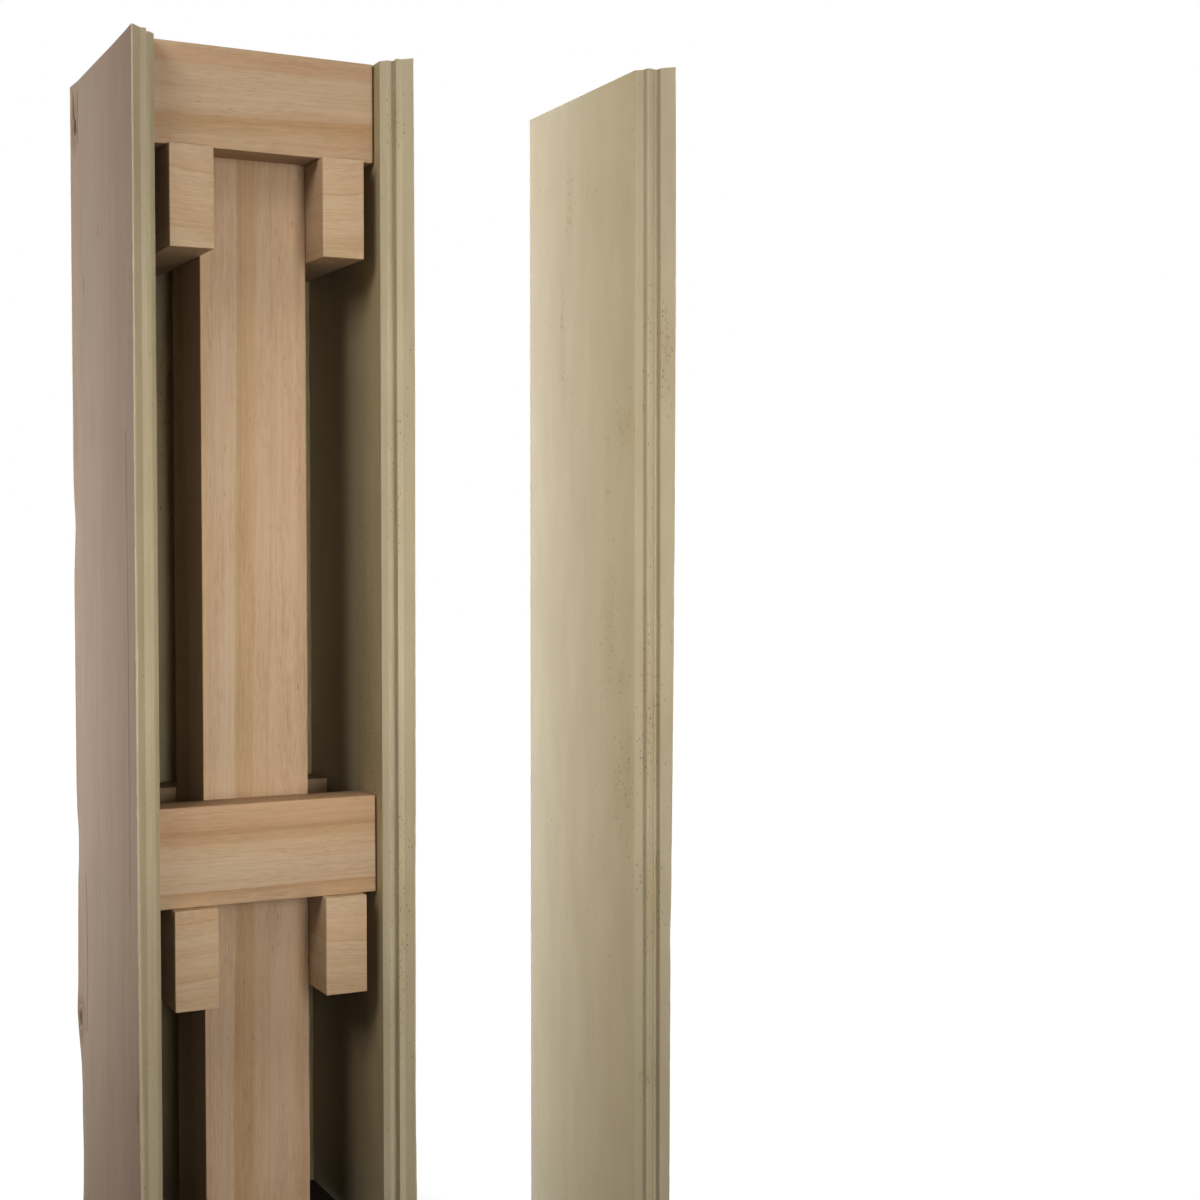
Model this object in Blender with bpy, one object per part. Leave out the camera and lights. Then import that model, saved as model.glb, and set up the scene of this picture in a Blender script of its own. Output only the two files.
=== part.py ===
"""Square column wrap with its front open.

Four moulded panels make a square casing round a timber post. The side panels carry a lock mitre with a
tongue along both edges, and the back and front panels carry its mating half. Two levels of short timber
blocks round the post hold the casing off it. The front panel is off, and stands upright beside the
column, turned so that its inner face looks back at it. Metres, +Z up, origin at the middle of the post's
foot, -Y out of the open front.
"""

from math import cos, exp, pi, radians, sin, tau

import bmesh
import bpy
from mathutils import Vector

# Driving dimensions
COLUMN_HEIGHT = 1.079
FRONT_PANEL_HEIGHT = 1.029
POST_SIDE = 0.0978
LUMBER_THICK = 0.0388
LUMBER_DEEP = 0.0887
FACE_BLOCK_LENGTH = 0.2009
SIDE_BLOCK_LENGTH = 0.1964
MID_LEVEL_TOP = 0.4147
WRAP_INSIDE = 0.2032
PANEL_THICK = 0.0240
WRAP_FORWARD = 0.0016
FRONT_PANEL_FACE_X = 0.2268
FRONT_PANEL_MIDDLE_Y = -0.2550
GAP = 0.0003
EASED_EDGE = 0.0008

# The lock mitre, as distances along the 45 degree line from the inner corner
LOCK_INNER = 0.0051
LOCK_STEP = 0.0103
LOCK_OUTER = 0.0149
LOCK_ROUNDS = {"bead": 0.0045, "nose": 0.0009, "cove": 0.0015}
TIP_FLAT = 0.0006
ROUND_STEPS = 3

# The hewn outer face: gentle swells over it, each with its height, length up, length across and phase
FACE_COLUMNS = 10
FACE_ROWS = 44
SWELLS = (
    (0.00035, 0.610, 0.90, 0.15),
    (0.00025, 0.270, 0.35, 0.60),
    (0.00015, 0.140, 0.16, 0.35),
)
SWELL_STARTS = {"panel_left": 0.00, "panel_right": 0.37, "panel_back": 0.71, "panel_front": 0.53}

# Raised and worn places on each long corner, as height up the panel, how far it stands out, and length
CORNER_REACH = 0.016
CORNER_RELIEF = {
    "left_front": ((0.700, 0.0009, 0.500), (0.040, -0.0010, 0.150)),
    "right_front": (
        (1.068, -0.0003, 0.060),
        (0.770, 0.0003, 0.120),
        (0.330, -0.0003, 0.040),
        (0.230, -0.0006, 0.120),
        (0.130, -0.0003, 0.060),
    ),
    "left_back": (
        (0.650, 0.0013, 2.000),
        (0.660, -0.0017, 0.024),
        (0.359, -0.0016, 0.025),
        (0.315, -0.0006, 0.055),
        (0.188, 0.0016, 0.014),
        (0.135, -0.0014, 0.032),
        (0.050, -0.0031, 0.085),
    ),
    "right_back": ((0.830, -0.0010, 0.050), (0.415, -0.0013, 0.070), (0.150, 0.0006, 0.030)),
    "loose_near": ((0.780, 0.0010, 0.550), (0.323, -0.0006, 0.016), (0.150, -0.0022, 0.420)),
    "loose_far": ((0.760, -0.0011, 0.060), (0.240, -0.0014, 0.080)),
}


def clear_scene():
    for obj in list(bpy.data.objects):
        bpy.data.objects.remove(obj, do_unlink=True)


def material(name, colour, roughness):
    """A plain Principled material, colour in linear light."""
    found = bpy.data.materials.get(name)
    if found:
        return found
    made = bpy.data.materials.new(name)
    made.use_nodes = True
    made.diffuse_color = (*colour, 1)
    shader = made.node_tree.nodes["Principled BSDF"]
    shader.inputs["Base Color"].default_value = (*colour, 1)
    shader.inputs["Roughness"].default_value = roughness
    shader.inputs["Metallic"].default_value = 0.0
    return made


def linear(hex_colour):
    """An sRGB hex colour as linear red, green and blue."""
    parts = [int(hex_colour[i : i + 2], 16) / 255 for i in (0, 2, 4)]
    return [c / 12.92 if c <= 0.04045 else ((c + 0.055) / 1.055) ** 2.4 for c in parts]


def object_from(name, bm, finishes):
    """An object from a closed bmesh, with its normals out and its curved faces smooth."""
    bmesh.ops.recalc_face_normals(bm, faces=bm.faces)
    mesh = bpy.data.meshes.new(name)
    bm.to_mesh(mesh)
    bm.free()
    mesh.shade_smooth()
    mesh.set_sharp_from_angle(angle=radians(25))
    for finish in finishes:
        mesh.materials.append(finish)
    obj = bpy.data.objects.new(name, mesh)
    bpy.context.scene.collection.objects.link(obj)
    return obj


# The post and its blocks
def timber(name, size, centre):
    """A sawn block of the given size with eased edges."""
    bm = bmesh.new()
    bmesh.ops.create_cube(bm, size=1)
    bmesh.ops.scale(bm, vec=size, verts=bm.verts)
    obj = object_from(name, bm, [material("planed_pine", linear("B2967A"), 0.6)])
    obj.location = centre
    edges = obj.modifiers.new("eased edges", "BEVEL")
    edges.width = EASED_EDGE
    edges.segments = 1
    return obj


def build_post():
    timber(
        "post",
        (POST_SIDE, POST_SIDE, COLUMN_HEIGHT),
        (0, 0, COLUMN_HEIGHT / 2),
    )


def build_blocking(level, top):
    """Two blocks across the post's front and back, and two below them along its sides."""
    reach = POST_SIDE / 2 + GAP + LUMBER_THICK / 2
    face_z = top - LUMBER_DEEP / 2
    side_z = face_z - LUMBER_DEEP - GAP
    for side, sign in (("front", -1), ("back", 1)):
        timber(
            f"blocking_{level}_{side}",
            (FACE_BLOCK_LENGTH, LUMBER_THICK, LUMBER_DEEP),
            (0, sign * reach, face_z),
        )
    for side, sign in (("left", -1), ("right", 1)):
        timber(
            f"blocking_{level}_{side}",
            (LUMBER_THICK, SIDE_BLOCK_LENGTH, LUMBER_DEEP),
            (sign * reach, 0, side_z),
        )


# The panels
def rounded(corners):
    """Points through (x, y, radius) corners, each corner with a radius turned into an arc."""
    points = []
    for i, (x, y, radius) in enumerate(corners):
        here = Vector((x, y))
        if not radius:
            points.append(here)
            continue
        back = (Vector(corners[i - 1][:2]) - here).normalized()
        on = (Vector(corners[i + 1][:2]) - here).normalized()
        half = back.angle(on) / 2
        middle = here + (back + on).normalized() * radius / sin(half)
        start = here + back * radius / (sin(half) / cos(half)) - middle
        turn = start.angle_signed(here + on * radius / (sin(half) / cos(half)) - middle)
        for step in range(ROUND_STEPS + 1):
            a = -turn * step / ROUND_STEPS
            spoke = Vector((start.x * cos(a) - start.y * sin(a), start.x * sin(a) + start.y * cos(a)))
            points.append(middle + spoke)
    return points


def lock_edge(tongue):
    """The lock mitre from the inner corner outward, as (depth from the inner face, reach past the corner).

    The mitre runs at 45 degrees but for one step, which stands out past that line on the tongue and in
    from it on the mating half, so that the two halves hold each other.
    """
    corners = [
        (0, 0, 0),
        (LOCK_INNER, LOCK_INNER, LOCK_ROUNDS["bead"]),
        (LOCK_STEP, LOCK_INNER, 0),
        (LOCK_STEP, LOCK_OUTER, LOCK_ROUNDS["nose"]),
        (LOCK_OUTER, LOCK_OUTER, LOCK_ROUNDS["cove"]),
        (PANEL_THICK, PANEL_THICK, 0),
    ]
    points = rounded(corners)[:-1]
    if not tongue:
        points = [Vector((p.y, p.x)) for p in points]
    return [(p.x, p.y - GAP) for p in points]


def relief(u, z, name, corners):
    """How far the hewn face stands out from its mean plane, at u across and z up the panel.

    The swells die away towards the two long corners, where the raised and worn places take over.
    """
    half = WRAP_INSIDE / 2 + PANEL_THICK
    swells = sum(
        height * sin(tau * (z / along + u / across + start + SWELL_STARTS[name]))
        for height, along, across, start in SWELLS
    )
    out = swells * (1 - (u / half) ** 4)
    for side, corner in zip((-half, half), corners):
        near = exp(-(((u - side) / CORNER_REACH) ** 2))
        for middle, height, length in CORNER_RELIEF[corner]:
            out += near * height * exp(-(((z - middle) / length) ** 2))
    return out


def build_panel(name, height, tongue, corners, turn, location):
    """A panel with its inner face on its own XZ plane, its outer face towards +Y, and its foot at z = 0."""
    bm = bmesh.new()
    half = WRAP_INSIDE / 2
    edge = lock_edge(tongue)
    rows = [height * row / FACE_ROWS for row in range(FACE_ROWS + 1)]

    # The inner face and the two lock edges run straight up, from the left tip round to the right tip
    straight = [(-half - reach, depth) for depth, reach in reversed(edge)]
    straight += [(half + reach, depth) for depth, reach in edge]
    low = [bm.verts.new((x, y, 0)) for x, y in straight]
    high = [bm.verts.new((x, y, height)) for x, y in straight]

    # The outer face is a grid between two narrow flats, each of which cuts a tip off square to the mitre
    columns = []
    for column in range(FACE_COLUMNS + 3):
        across = sin(pi * (min(max(column - 1, 0), FACE_COLUMNS) / FACE_COLUMNS - 0.5))
        cut = TIP_FLAT / 2 if column in (0, FACE_COLUMNS + 2) else 0
        verts = []
        for z in rows:
            depth = PANEL_THICK + relief(across * (half + PANEL_THICK), z, name, corners)
            tip = half + depth - TIP_FLAT - GAP + cut
            verts.append(bm.verts.new((across * tip, depth - cut, z)))
        columns.append(verts)

    outside = []
    for near, far in zip(columns, columns[1:]):
        for row in range(FACE_ROWS):
            outside.append(bm.faces.new((near[row], near[row + 1], far[row + 1], far[row])))
    for i in range(len(straight) - 1):
        bm.faces.new((low[i], low[i + 1], high[i + 1], high[i]))
    bm.faces.new([low[0], *columns[0], high[0]])
    bm.faces.new([low[-1], *columns[-1], high[-1]])
    bm.faces.new(low + [verts[0] for verts in reversed(columns)])
    bm.faces.new(high + [verts[-1] for verts in reversed(columns)])
    for face in outside:
        face.material_index = 1

    finishes = [
        material("raw_foam", linear("A89C7C"), 0.75),
        material("stained_skin", linear("96877A"), 0.65),
    ]
    obj = object_from(name, bm, finishes)
    obj.rotation_euler.z = turn
    obj.location = location
    return obj


def build_wrap():
    half = WRAP_INSIDE / 2
    middle = -WRAP_FORWARD
    build_panel(
        "panel_left",
        COLUMN_HEIGHT,
        True,
        ("left_front", "left_back"),
        pi / 2,
        (-half, middle, 0),
    )
    build_panel(
        "panel_right",
        COLUMN_HEIGHT,
        True,
        ("right_back", "right_front"),
        -pi / 2,
        (half, middle, 0),
    )
    build_panel(
        "panel_back",
        COLUMN_HEIGHT,
        False,
        ("left_back", "right_back"),
        0,
        (0, middle + half, 0),
    )
    build_panel(
        "panel_front",
        FRONT_PANEL_HEIGHT,
        False,
        ("loose_far", "loose_near"),
        -pi / 2,
        (FRONT_PANEL_FACE_X, FRONT_PANEL_MIDDLE_Y, 0),
    )


clear_scene()
build_post()
build_blocking("top", COLUMN_HEIGHT)
build_blocking("mid", MID_LEVEL_TOP)
build_wrap()
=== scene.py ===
import math

import bmesh
import bpy
import numpy as np
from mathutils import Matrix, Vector


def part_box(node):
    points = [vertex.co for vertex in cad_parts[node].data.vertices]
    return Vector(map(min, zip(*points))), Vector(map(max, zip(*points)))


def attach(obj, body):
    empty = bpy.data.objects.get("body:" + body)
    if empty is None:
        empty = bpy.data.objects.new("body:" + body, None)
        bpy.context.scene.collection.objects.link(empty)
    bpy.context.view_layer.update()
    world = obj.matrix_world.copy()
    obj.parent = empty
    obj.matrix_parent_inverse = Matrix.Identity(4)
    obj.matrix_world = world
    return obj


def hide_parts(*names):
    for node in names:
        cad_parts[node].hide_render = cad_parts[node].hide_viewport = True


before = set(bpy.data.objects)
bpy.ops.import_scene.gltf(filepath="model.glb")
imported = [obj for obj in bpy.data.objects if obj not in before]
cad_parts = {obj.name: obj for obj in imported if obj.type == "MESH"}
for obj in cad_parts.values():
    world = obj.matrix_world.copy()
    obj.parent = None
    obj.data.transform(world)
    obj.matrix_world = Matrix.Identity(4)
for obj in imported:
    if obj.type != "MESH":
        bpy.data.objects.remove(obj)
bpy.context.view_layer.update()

# ---------------------------------------------------------------------------------------------------------
# The post: one length of four by four softwood, planed on all four sides and cut square. It stands on the
# floor, and the blocks are fixed round it.
# ---------------------------------------------------------------------------------------------------------
MM = 0.001
X, Y, Z = 0, 1, 2
PLANED_CORNER = 0.7 * MM
CORNER_STEPS = 3
CORNER_CREASE = math.radians(40)

# The log: how far its growth bands wander and how ragged their edges are, the width of a thin ring and how
# late in its growth it darkens, the radius where lengths round the rings are true, and the share of cells
# that hold a resin fleck. Each board starts so many metres up a trunk for each metre of its place
RING_WANDER = 4.5 * MM
RING_RAGGED = 1.6 * MM
THIN_RING = 2.8 * MM
LATE_GROWTH = 2.5
TRUE_RADIUS = 100 * MM
RESIN_SHARE = 0.14
BOARD_STARTS = (3, 5, 7)


def linear(hex_colour):
    """An sRGB hex colour as linear red, green, blue and alpha."""
    parts = [int(hex_colour[i : i + 2], 16) / 255 for i in (0, 2, 4)]
    return [c / 12.92 if c <= 0.04045 else ((c + 0.055) / 1.055) ** 2.4 for c in parts] + [1]


def add(tree, kind, inputs=None, stops=None, **settings):
    """Adds a node with its settings, each input a value or the socket that feeds it, and any ramp's stops."""
    made = tree.nodes.new("ShaderNode" + kind)
    for name, value in settings.items():
        setattr(made, name, value)
    for name, value in (inputs or {}).items():
        if isinstance(value, bpy.types.NodeSocket):
            tree.links.new(value, made.inputs[name])
        else:
            made.inputs[name].default_value = value
    if stops:
        elements = made.color_ramp.elements
        while len(elements) < len(stops):
            elements.new(1)
        for element, (place, colour) in zip(elements, stops):
            element.position = place
            element.color = colour
    return made


def drawn(tree, kind, place, cell, **inputs):
    """A texture drawn at its real size, from the three sides of its cell in mm."""
    count = add(tree, "VectorMath", {0: place, 1: [1 / (side * MM) for side in cell]}, operation="MULTIPLY")
    return add(tree, kind, {"Vector": count.outputs[0], "Scale": 1.0, **inputs})


def turned(tree, factor, low, high, first, second):
    """first turning into second as factor goes from low to high."""
    amount = add(tree, "MapRange", {"Value": factor, "From Min": low, "From Max": high}).outputs[0]
    return add(tree, "Mix", {0: amount, 6: first, 7: second}, data_type="RGBA").outputs[2]


def tinted(tree, base, factor, low, high, first, second):
    """base, under a tint that turns from first into second as factor goes from low to high."""
    tint = turned(tree, factor, low, high, (*first, 1), (*second, 1))
    return add(tree, "Mix", {0: 1.0, 6: base, 7: tint}, data_type="RGBA", blend_type="MULTIPLY").outputs[2]


def planed_pine(name, rings):
    """Bare pine, planed. Wide soft growth bands with ragged edges run through it, with faint thin rings, fine
    broken fibres and a few resin flecks along the grain, and the surface is dull with a slight sheen.

    The bands are (distance from the heart in mm, colour), in one span that then repeats."""
    made = bpy.data.materials.new(name)
    made.use_nodes = True
    tree = made.node_tree
    shader = tree.nodes["Principled BSDF"]
    log = add(tree, "Attribute", attribute_name="log").outputs["Vector"]
    part = add(tree, "SeparateXYZ", {0: log}).outputs

    # The bands wander a little across the trunk and slowly along it
    bend = drawn(tree, "TexNoise", log, (40, 40, 260), Detail=2.5, Roughness=0.55).outputs["Fac"]
    sway = add(tree, "Math", {0: bend, 1: 0.5}, operation="SUBTRACT").outputs[0]
    flat = add(tree, "VectorMath", {0: log, 1: (1, 1, 0)}, operation="MULTIPLY").outputs[0]
    heart = add(tree, "VectorMath", {0: flat}, operation="LENGTH").outputs["Value"]
    radius = add(tree, "Math", {0: sway, 1: RING_WANDER, 2: heart}, operation="MULTIPLY_ADD").outputs[0]
    fray = drawn(tree, "TexNoise", log, (5, 5, 26), Detail=3.0, Roughness=0.6).outputs["Fac"]
    fray = add(tree, "Math", {0: fray, 1: 0.5}, operation="SUBTRACT").outputs[0]
    frayed = add(tree, "Math", {0: fray, 1: RING_RAGGED, 2: radius}, operation="MULTIPLY_ADD").outputs[0]

    first, last = rings[0][0] * MM, rings[-1][0] * MM
    limits = {"From Min": first, "From Max": last}
    share = add(tree, "MapRange", {"Value": frayed, **limits}, clamp=False).outputs[0]
    again = add(tree, "Math", {0: share}, operation="FRACT").outputs[0]
    stops = [((mm * MM - first) / (last - first), linear(colour)) for mm, colour in rings]
    wide = add(tree, "ValToRGB", {"Fac": again}, stops=stops).outputs["Color"]

    # Thin rings between them, each with its own strength
    count = add(tree, "Math", {0: radius, 1: THIN_RING}, operation="DIVIDE").outputs[0]
    index = add(tree, "Math", {0: count}, operation="FLOOR").outputs[0]
    strength = add(tree, "TexWhiteNoise", {"W": index}, noise_dimensions="1D").outputs["Value"]
    inside = add(tree, "Math", {0: count}, operation="FRACT").outputs[0]
    late = add(tree, "Math", {0: inside, 1: LATE_GROWTH}, operation="POWER").outputs[0]
    thin = add(tree, "Math", {0: late, 1: strength}, operation="MULTIPLY").outputs[0]

    # Real fibres are 0.03 mm thick, too fine to show, so they are drawn in bundles from 0.9 mm. They follow
    # the rings: thin across them, wider round them, and long up the trunk. The planer left them smooth in
    # some patches and a little torn in others
    angle = add(tree, "Math", {0: part["Y"], 1: part["X"]}, operation="ARCTAN2").outputs[0]
    arc = add(tree, "Math", {0: angle, 1: TRUE_RADIUS}, operation="MULTIPLY").outputs[0]
    grain = add(tree, "CombineXYZ", {0: radius, 1: arc, 2: part["Z"]}).outputs[0]
    fibre = drawn(tree, "TexNoise", grain, (0.9, 3.2, 15), Detail=3.0, Roughness=0.6).outputs["Fac"]
    patch = drawn(tree, "TexNoise", grain, (14, 40, 160), Detail=1.0).outputs["Fac"]
    torn = add(
        tree,
        "MapRange",
        {"Value": patch, "From Min": 0.36, "From Max": 0.64, "To Min": 0.80, "To Max": 1.10},
    ).outputs[0]
    fibre = add(tree, "Math", {0: fibre, 1: torn}, operation="MULTIPLY").outputs[0]
    streak = drawn(tree, "TexNoise", grain, (2.4, 8, 80), Detail=2.0).outputs["Fac"]
    shade = drawn(tree, "TexNoise", log, (24, 24, 150), Detail=1.0).outputs["Fac"]

    # Resin flecks 1 mm across and a few long, in one cell of seven
    spots = drawn(tree, "TexVoronoi", grain, (2.6, 9, 22))
    lot = add(tree, "SeparateColor", {"Color": spots.outputs["Color"]}).outputs["Red"]
    picked = add(tree, "Math", {0: lot, 1: RESIN_SHARE}, operation="LESS_THAN").outputs[0]
    off = spots.outputs["Distance"]
    spot = add(
        tree,
        "MapRange",
        {"Value": off, "From Min": 0.05, "From Max": 0.20, "To Min": 1.0, "To Max": 0.0},
    ).outputs[0]
    fleck = add(tree, "Math", {0: spot, 1: picked}, operation="MULTIPLY").outputs[0]

    colour = tinted(tree, wide, shade, 0.35, 0.75, (1, 1, 1), (1.0, 0.965, 0.945))
    colour = tinted(tree, colour, thin, 0.1, 1.0, (1, 1, 1), (0.93, 0.90, 0.86))
    colour = tinted(tree, colour, streak, 0.40, 0.72, (1.015, 1.015, 1.015), (0.955, 0.94, 0.92))
    colour = tinted(tree, colour, fibre, 0.43, 0.78, (1.01, 1.01, 1.01), (0.89, 0.86, 0.82))
    colour = tinted(tree, colour, fleck, 0.0, 1.0, (1, 1, 1), (0.80, 0.74, 0.67))
    tree.links.new(colour, shader.inputs["Base Color"])

    dull = add(tree, "MapRange", {"Value": fibre, "To Min": 0.58, "To Max": 0.76}).outputs[0]
    tree.links.new(dull, shader.inputs["Roughness"])
    raised = add(tree, "Math", {0: fibre, 1: thin}, operation="SUBTRACT").outputs[0]
    bump = add(tree, "Bump", {"Strength": 0.2, "Distance": 0.12 * MM, "Height": raised})
    tree.links.new(bump.outputs["Normal"], shader.inputs["Normal"])
    shader.inputs["IOR"].default_value = 1.5
    shader.inputs["Specular IOR Level"].default_value = 0.4
    return made


def store(mesh, name, values):
    """Keeps one number or one vector for each vertex, for the materials to read."""
    values = np.asarray(values, np.float32)
    kind, field = ("FLOAT", "value") if values.ndim == 1 else ("FLOAT_VECTOR", "vector")
    mesh.attributes.new(name, kind, "POINT").data.foreach_set(field, values.ravel())


def planed_board(node, along, heart, lean, material):
    """A planed length of timber in its CAD node's place. The heart of the log is given in mm from the
    board's middle on its other two axes, and leans by so many mm a metre on the first of them."""
    low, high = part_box(node)
    bm = bmesh.new()
    bmesh.ops.create_cube(bm, size=1)
    bmesh.ops.scale(bm, vec=high - low, verts=bm.verts)
    bmesh.ops.translate(bm, vec=(low + high) / 2, verts=bm.verts)
    bmesh.ops.bevel(
        bm, geom=bm.edges[:], offset=PLANED_CORNER, segments=CORNER_STEPS, profile=0.5, affect="EDGES"
    )
    mesh = bpy.data.meshes.new(node + "_timber")
    bm.to_mesh(mesh)
    bm.free()
    mesh.shade_smooth()
    mesh.set_sharp_from_angle(angle=CORNER_CREASE)
    mesh.materials.append(material)

    # Each point's place in the log: out from the heart towards the board, square to that, and up the trunk,
    # which starts anew for each board
    places = np.array([v.co for v in mesh.vertices])
    across = [axis for axis in (X, Y, Z) if axis != along]
    middle = np.array((low + high) / 2)
    up = places[:, along] - middle[along]
    a = places[:, across[0]] - middle[across[0]] - heart[0] * MM + up * lean * MM
    b = places[:, across[1]] - middle[across[1]] - heart[1] * MM
    out = -np.array(heart) / math.hypot(*heart)
    up = up + middle @ BOARD_STARTS
    store(mesh, "log", np.column_stack((a * out[0] + b * out[1], b * out[0] - a * out[1], up)))

    piece = bpy.data.objects.new(node + "_timber", mesh)
    bpy.context.scene.collection.objects.link(piece)
    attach(piece, "root")
    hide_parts(node)


post_pine = planed_pine(
    "planed_pine_post",
    (
        (88, "B6A085"),
        (94, "B7A085"),
        (96, "BCA68E"),
        (110, "B9A389"),
        (113, "BAA389"),
        (115, "B59C7E"),
        (125, "B2997A"),
        (126, "BAA58C"),
        (137, "BCA68E"),
        (143, "BAA48A"),
        (144, "BCA487"),
        (150, "BDA587"),
    ),
)
planed_board("post", Z, (70, 40), -8.5, post_pine)

# ---------------------------------------------------------------------------------------------------------
# The blocks: short lengths of two by four, planed, two across the post's front and back and two along its
# sides just below, at two levels. They hold the casing off the post. The lower back one is painted darker,
# painted shade for the shade it stands in behind the front blocks.
# ---------------------------------------------------------------------------------------------------------
top_pine = planed_pine(
    "planed_pine_top_blocks",
    (
        (88, "BAA185"),
        (100, "BAA286"),
        (103, "B79D7D"),
        (108, "B49877"),
        (109, "BAA287"),
        (114, "BFA98F"),
        (120, "BEA88E"),
        (134, "BDA78D"),
        (137, "B99F83"),
        (144, "BAA084"),
        (147, "BDA68B"),
        (152, "BBA388"),
    ),
)
mid_pine = planed_pine(
    "planed_pine_mid_blocks",
    (
        (66, "BAA388"),
        (72, "BBA488"),
        (77, "BAA285"),
        (80, "B19475"),
        (81, "BFAA91"),
        (100, "BFAA91"),
        (112, "BCA387"),
        (114, "B79D7F"),
        (119, "B59A7A"),
        (121, "AC8E6F"),
        (123, "B09475"),
        (127, "B5997C"),
        (134, "B79D81"),
        (150, "B99F82"),
    ),
)
# Darker colours for the lower back block: painted shade for the shade it stands in behind the front blocks
shaded_back_pine = planed_pine(
    "planed_pine_painted_shade_block",
    (
        (64, "A88E72"),
        (78, "A2876A"),
        (79, "AB9277"),
        (96, "A98F74"),
        (104, "A0846A"),
        (105, "AA9075"),
        (120, "A88E72"),
    ),
)
side_pine = planed_pine(
    "planed_pine_side_blocks",
    (
        (250, "BEA98F"),
        (267, "BCA58A"),
        (268, "BFA98F"),
        (287, "BBA387"),
        (289, "B79D7F"),
        (290, "BEA98F"),
        (311, "BCA589"),
        (312, "BFA98F"),
        (336, "B9A184"),
        (338, "B59B7D"),
        (339, "BAA488"),
        (350, "BAA58A"),
    ),
)
planed_board("blocking_top_front", X, (70, -75), 20, top_pine)
planed_board("blocking_top_back", X, (-60, 82), -14, top_pine)
planed_board("blocking_mid_front", X, (40, -85), 2, mid_pine)
planed_board("blocking_mid_back", X, (-64, 70), 16, shaded_back_pine)
planed_board("blocking_top_left", Y, (20, 310), 12, side_pine)
planed_board("blocking_top_right", Y, (-20, 300), -16, side_pine)
planed_board("blocking_mid_left", Y, (-20, 270), 10, side_pine)
planed_board("blocking_mid_right", Y, (20, 292), -12, side_pine)

# ---------------------------------------------------------------------------------------------------------
# The casing: four panels cast in rigid foam, with a thin skin that took the grain of rough old timber from
# the mould and is stained grey brown. Inside and on the lock mitres the foam is bare. The side panels carry
# the tongue, the back and front panels its mate, and the front one stands loose beside the column.
# ---------------------------------------------------------------------------------------------------------
INSIDE = 0.2032
THICK = 0.0240
GAP = 0.0003
SET_FORWARD = 0.0016

# The CAD solid's outer face: where the tips are cut off, its columns, how deep the lock reaches, how near
# two points lie to be on one level, and over what height and how many columns its facets are softened
TIP_CUT = 0.0009
FORM_COLUMNS = 10
LOCK_REACH = 0.75 * THICK
SAME_LEVEL = 0.2 * MM
FORM_SOFTNESS = 7 * MM
FACE_SOFTNESS = 2.0

# The mesh: the height of a row, its columns and how they crowd towards the tips, the steps of its roundings,
# the flat beside each rounding of the lock, and the bend that stays a crisp line
ROW_HEIGHT = 3.6 * MM
INSIDE_COLUMNS = 36
OUTSIDE_COLUMNS = 180
CROWDING = 0.97
ARC_STEPS = 5
SLOPE_STEPS = 6
ARRIS_STEPS = 6
SHOULDER = 1.6 * MM
CRISP_BEND = math.radians(22)

# The lock mitre's corners on the tongue, from the inner corner outward, as (depth from the inner face, reach
# past the corner, radius) in mm, with a small barb along the tongue's side. The mate has the same line with
# depth and reach changed over, so it has a notch there
LOCK_CORNERS = (
    (0.0, 0.0, 0.0),
    (5.0, 5.3, 1.6),
    (11.2, 5.8, 1.9),
    (10.46, 11.0, 0.0),
    (9.86, 12.0, 0.0),
    (10.27, 12.3, 0.0),
    (9.9, 14.9, 0.4),
    (15.6, 15.3, 0.5),
    (24.0, 24.0, 0.0),
)
TONGUE_HOLLOW = LOCK_CORNERS[2]
MATE_HOLLOW = LOCK_CORNERS[6]

# The old timber's grain: its depth, how far it wanders in mm, over what width and length, its furrows as
# (share, spacing, length) in mm, from broad to fine, and how much they are stretched, lowered and sharpened
GRAIN_DEPTH = 0.26 * MM
GRAIN_WANDER = (9.0, 60.0, 450.0)
FURROWS = ((0.30, 15.0, 300.0), (0.40, 5.6, 140.0), (0.30, 2.7, 60.0))
FURROW_GAIN, FURROW_FLOOR, FURROW_POWER = 1.25, 0.10, 1.4

# Its knots, with distances as shares of the way to the rim: their depth, the spots that make the rim uneven,
# how far the grain swings and how fast that dies away round and above a knot, the groove outside the rim as
# (place, half width), where a knot ends, and a distance that stands for no knot
KNOT_DEPTH = 0.9 * MM
KNOT_SPOTS = (3 * MM, 6 * MM)
KNOT_UNEVEN = (0.75, 0.5)
KNOT_SWING, SWING_ROUND, SWING_ABOVE = 1.1, 1.6, 2.5
RIM_GROOVE = (1.25, 0.16)
KNOT_ENDS = 3.0
NO_KNOT = 9.0
CRACK_SHARE = 0.8

# Smooth noise repeats after this many cells, and is read around a knot from this many cells in. What is added
# to a panel's seed for the noise of its arrises, its knots and its trapped air
NOISE_CELLS = 256
NOISE_MIDDLE = 60
ARRIS_NOISE, KNOT_NOISE, TRAPPED_NOISE = 5, 6, 7

# The worn arrises: how fast wear grows towards the foot, the length of a ragged place, the least and the
# added share of the radius there, and the distance from which an arris counts as out of reach
WEAR_GROWTH = 3
RAGGED_LENGTH = 11 * MM
RAGGED_SHARE = (0.85, 0.5)
ARRIS_REACH = 50 * MM

# Air trapped in the lock's hollow corner: the length of a patch, how patchy it is and how coarse it gets
TRAPPED_LENGTH = 30 * MM
TRAPPED_GAIN, TRAPPED_FLOOR = 1.9, 0.5
TRAPPED_COARSE = 0.15

# How far apart two panels with neighbouring seeds lie in the grain and in the foam, so that none repeats
GRAIN_STEP = 0.6
FOAM_STEP = 1.7

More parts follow.
